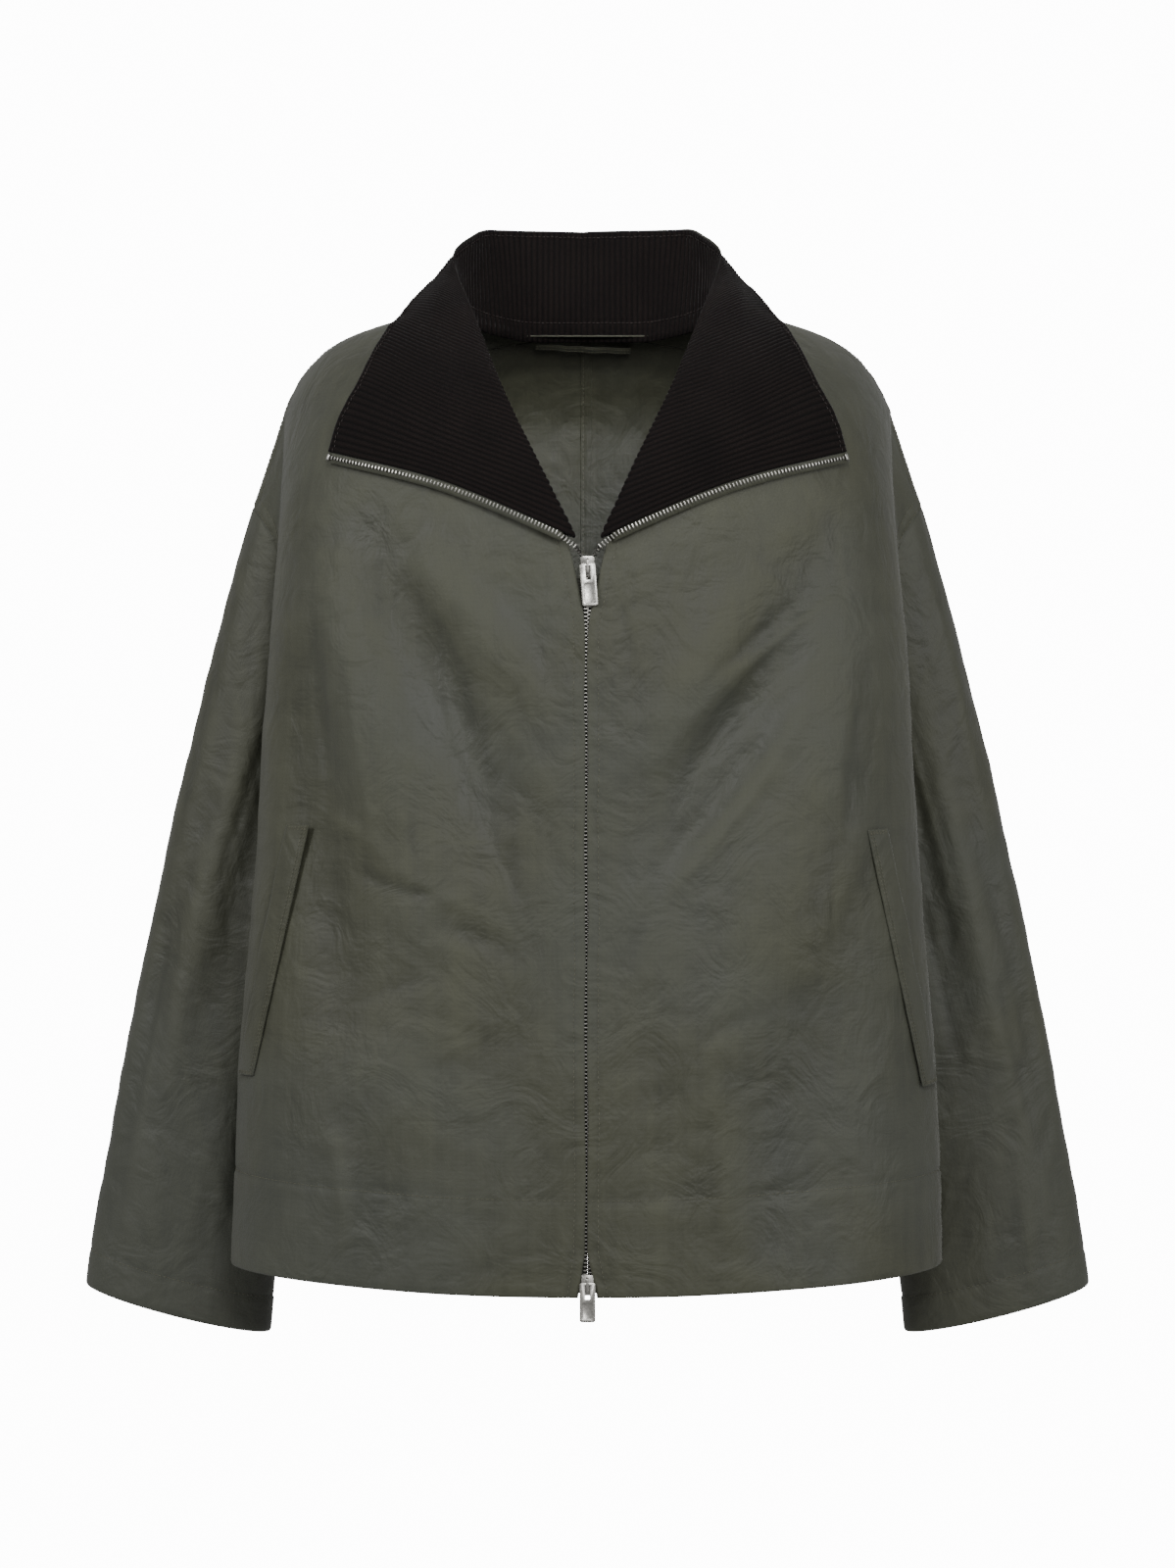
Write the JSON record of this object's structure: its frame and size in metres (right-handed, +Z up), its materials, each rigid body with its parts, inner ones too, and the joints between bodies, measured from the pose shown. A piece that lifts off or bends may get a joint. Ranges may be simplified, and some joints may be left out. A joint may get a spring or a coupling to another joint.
{
  "type": "waxed cotton jacket",
  "caption": "Hip-length waxed cotton jacket, filled out as worn but empty: corduroy-faced collar open as lapels over a two-way metal zip, slanted welt pockets and straight sleeves.",
  "frame": {"origin": "middle of the neck hole at the height of the shoulder line, where the wearer's neck and shoulders hold the jacket up", "axes": "+Z up towards the collar, -Y out of the front through the zip, +X towards the wearer's left sleeve"},
  "size_m": [0.664, 0.2713, 0.7332],
  "materials": {
    "waxed_cotton": "dark olive waxed cotton, dull sheen, slightly mottled",
    "corduroy": "near-black brown cotton corduroy, eight wales to the inch",
    "zip_tape": "olive woven zip tape",
    "zip_metal": "polished nickel-coloured zip metal"
  },
  "bodies": {
    "jacket": {"front_left": "waxed_cotton", "front_right": "waxed_cotton", "back_left": "waxed_cotton", "back_right": "waxed_cotton", "sleeve_left": "waxed_cotton", "sleeve_right": "waxed_cotton", "collar_shell": "waxed_cotton", "collar_corduroy": "corduroy", "pocket_welt_left": "waxed_cotton", "pocket_welt_right": "waxed_cotton", "locker_loop": "waxed_cotton", "zip_tape_left": "zip_tape", "zip_tape_right": "zip_tape", "zip_chain": "zip_metal", "zip_chain_left": "zip_metal", "zip_chain_right": "zip_metal", "zip_stop_left": "zip_metal", "zip_stop_right": "zip_metal", "slider_top": "zip_metal", "slider_bottom": "zip_metal"},
    "pull_top": {"pull_top": "zip_metal"},
    "pull_bottom": {"pull_bottom": "zip_metal"}
  },
  "joints": [
    {"name": "pull_top_hinge", "type": "hinge", "parent": "jacket", "child": "pull_top", "pos_m": [0, -0.12844, -0.1636], "axis": [-0.9976, 0, -0.0698], "range_deg": [0, 150]},
    {"name": "pull_bottom_hinge", "type": "hinge", "parent": "jacket", "child": "pull_bottom", "pos_m": [0, -0.14076, -0.6121], "axis": [-1, 0, 0], "range_deg": [0, 165]}
  ]
}
